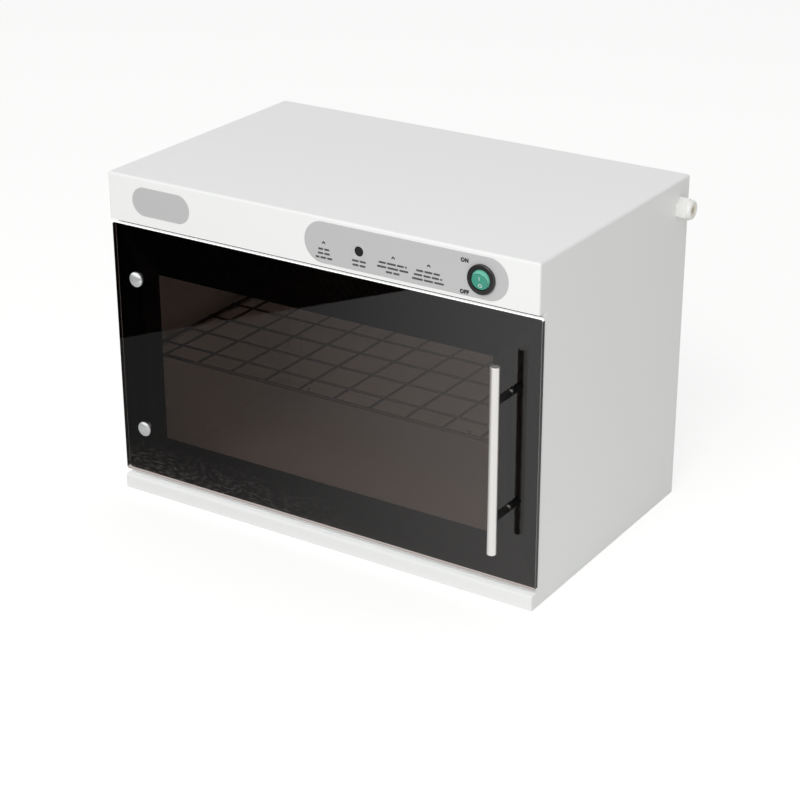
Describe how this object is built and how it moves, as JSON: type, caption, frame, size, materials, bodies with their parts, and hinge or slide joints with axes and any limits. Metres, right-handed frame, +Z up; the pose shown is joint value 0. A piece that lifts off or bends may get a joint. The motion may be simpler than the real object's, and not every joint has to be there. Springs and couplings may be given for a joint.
{
  "type": "germicidal storage chamber",
  "caption": "Bench-top steel cabinet with a tinted glass door, wire shelf and germicidal lamp, rocker switch and start button on the front band.",
  "frame": {"origin": "middle of the flat face that the cabinet rests on", "axes": "+X right as seen from the front, +Y towards the back, +Z up"},
  "size_m": [0.4137, 0.2661, 0.284],
  "materials": {
    "casing_paint": "smooth light grey-white powder coat",
    "zinc_steel": "zinc-plated steel",
    "tinted_glass": "grey-brown tinted glass, ground edges",
    "black_border": "black print behind the glass",
    "black_rubber": "soft black rubber",
    "nylon": "natural nylon",
    "aluminium": "bright rolled aluminium",
    "bright_chrome": "polished chrome",
    "satin_steel": "satin stainless steel",
    "blackened_steel": "blackened steel",
    "magnet_nickel": "nickel-plated magnet",
    "shelf_wire": "dull steel wire",
    "lamp_glass": "clear quartz glass",
    "white_moulding": "white moulded plastic",
    "ballast_steel": "lacquered steel",
    "starter_can": "white moulded can",
    "circuit_board": "green solder mask",
    "brass": "plain brass",
    "relay_blue": "blue moulded case",
    "black_moulding": "black moulded plastic",
    "lamp_resin": "tinted clear resin",
    "grey_film": "domed grey label",
    "switch_black": "gloss black moulded plastic",
    "green_rocker": "translucent green plastic",
    "gland_white": "white nylon",
    "pale_seal": "pale rubber"
  },
  "bodies": {
    "cabinet": {"outer_casing": "casing_paint", "base_plate": "casing_paint", "back_panel": "casing_paint", "back_panel_screws": "zinc_steel", "chamber_ceiling": "casing_paint", "door_seal": "black_rubber", "upper_hinge_bracket": "zinc_steel", "lower_hinge_bracket": "zinc_steel", "upper_hinge_pin": "zinc_steel", "lower_hinge_pin": "zinc_steel", "hinge_rivets": "aluminium", "catch_magnets": "magnet_nickel", "wire_shelf": "shelf_wire", "left_shelf_rail": "casing_paint", "right_shelf_rail": "casing_paint", "lamp_tube": "lamp_glass", "lamp_caps": "aluminium", "left_lampholder": "white_moulding", "right_lampholder": "white_moulding", "lamp_reflector": "aluminium", "ballast": "ballast_steel", "starter_base": "white_moulding", "starter": "starter_can", "terminal_block": "nylon", "terminal_screws": "zinc_steel", "control_board": "circuit_board", "board_standoffs": "brass", "board_relay": "relay_blue", "board_supply": "black_moulding", "board_capacitor": "aluminium", "indicator_lamps": "lamp_resin", "start_switch": "black_moulding", "button_sleeve": "black_moulding", "control_film": "grey_film", "name_plate": "grey_film", "switch_body": "switch_black", "rocker_pivot": "zinc_steel", "switch_terminals": "brass", "gland_body": "gland_white", "gland_nut": "gland_white", "gland_seal": "pale_seal", "gland_locknut": "gland_white"},
    "door": {"door_glass": "tinted_glass", "door_border": "black_border", "upper_hinge_leaf": "zinc_steel", "lower_hinge_leaf": "zinc_steel", "hinge_caps": "bright_chrome", "hinge_cap_washers": "black_rubber", "hinge_bushes": "nylon", "hinge_cap_nuts": "zinc_steel", "handle_bar": "satin_steel", "handle_posts": "blackened_steel", "handle_screws": "zinc_steel", "handle_washers": "nylon", "strike_discs": "zinc_steel"},
    "rocker": {"rocker": "green_rocker"},
    "button": {"start_button": "black_moulding"}
  },
  "joints": [
    {"name": "door_hinge", "type": "hinge", "parent": "cabinet", "child": "door", "pos_m": [-0.1995, -0.11225, 0.12665], "axis": [0, 0, -1], "range_deg": [0, 110]},
    {"name": "rocker_tip", "type": "hinge", "parent": "cabinet", "child": "rocker", "pos_m": [0.1517, -0.12125, 0.2625], "axis": [-1, 0, 0], "range_deg": [0, 26]},
    {"name": "button_press", "type": "slide", "parent": "cabinet", "child": "button", "axis": [0, 1, 0], "range_m": [0, 0.0006], "stiffness_N_per_m": 400}
  ]
}
